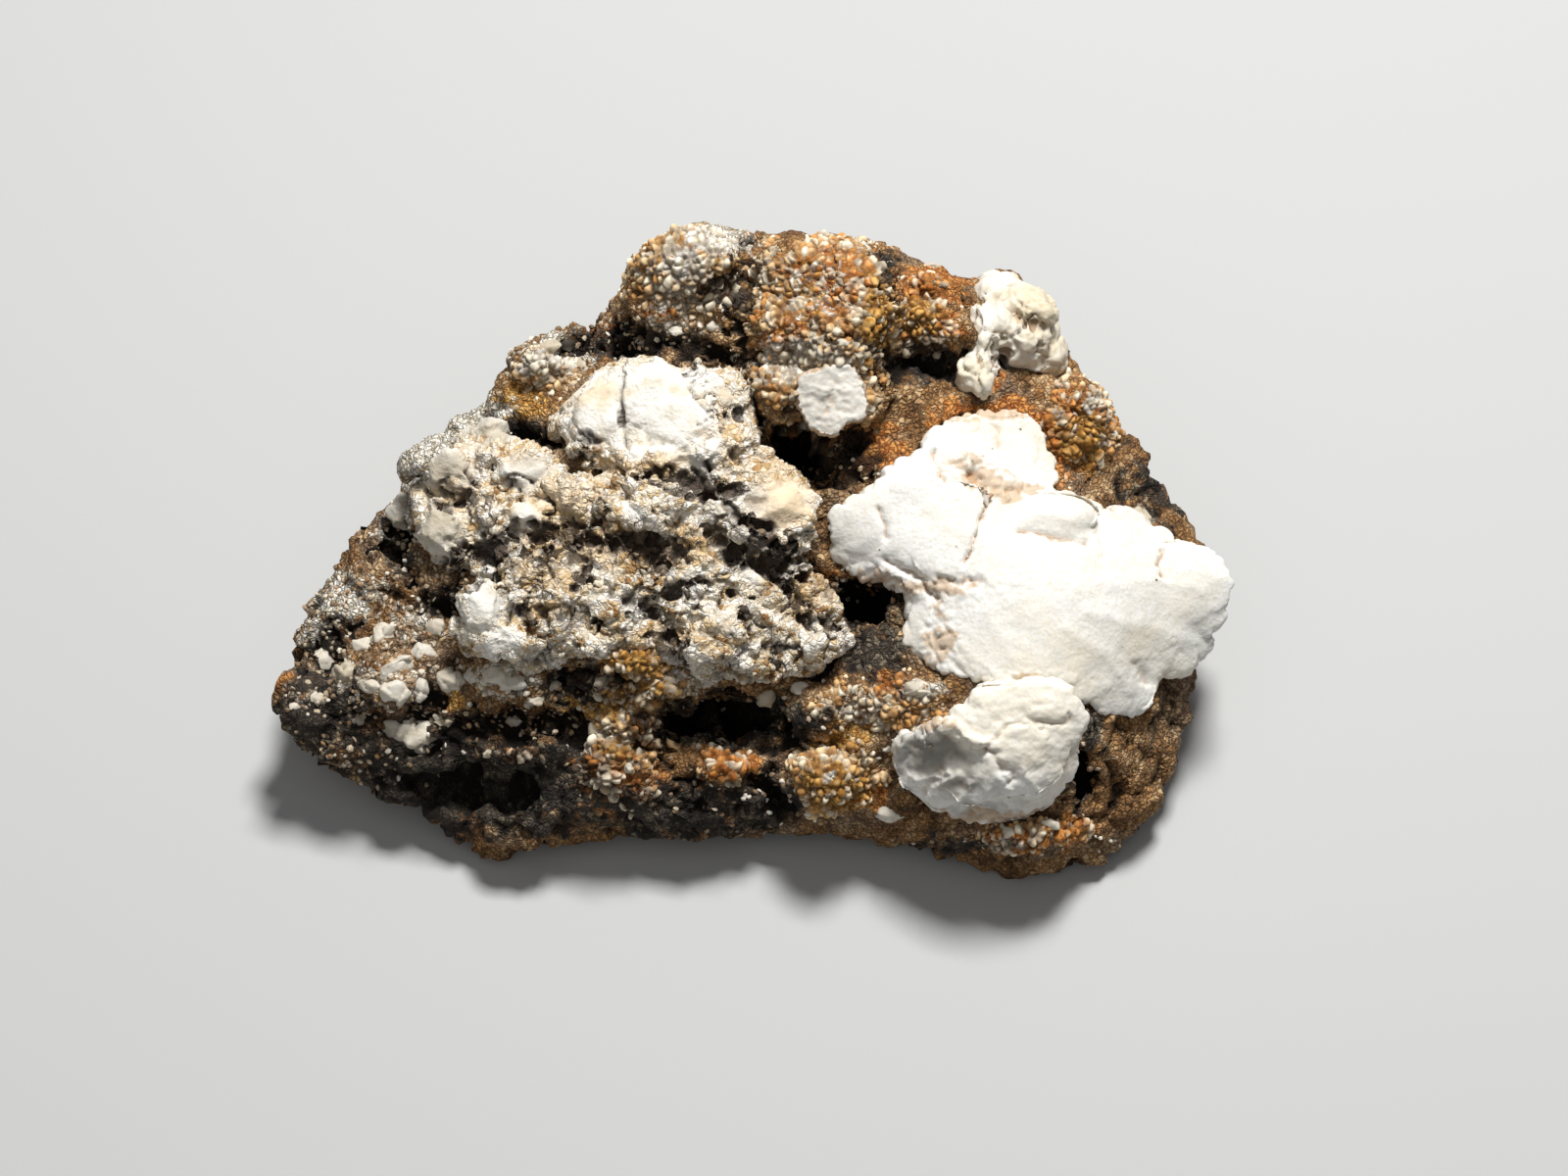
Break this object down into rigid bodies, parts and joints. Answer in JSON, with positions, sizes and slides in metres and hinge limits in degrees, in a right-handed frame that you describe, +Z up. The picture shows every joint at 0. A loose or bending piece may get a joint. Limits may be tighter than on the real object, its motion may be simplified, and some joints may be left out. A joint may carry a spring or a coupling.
{
  "type": "huntite specimen",
  "caption": "Hand-sized mineral specimen: smooth and granular white huntite grown on a brown, knobbly, iron-stained host rock that rests on a small flat.",
  "frame": {"origin": "on the flat that the stone rests on, near its middle", "axes": "+X along the length of the stone, to the right as seen from its show face, -Y towards the viewer of the show face, +Z up"},
  "size_m": [0.0964, 0.0623, 0.0378],
  "materials": {
    "matrix_stone": "rough, iron-stained host rock with small rounded grains",
    "huntite_white": "matte, porcelain-like white huntite",
    "huntite_crust": "matte, granular cream-white huntite with ochre stains"
  },
  "bodies": {
    "root": {"matrix_rock": "matrix_stone", "huntite_main_mass": "huntite_white", "huntite_lower_mass": "huntite_white", "huntite_upper_knob": "huntite_white", "huntite_cleaved_chip": "huntite_white", "huntite_granular_crust": "huntite_crust"}
  },
  "joints": []
}
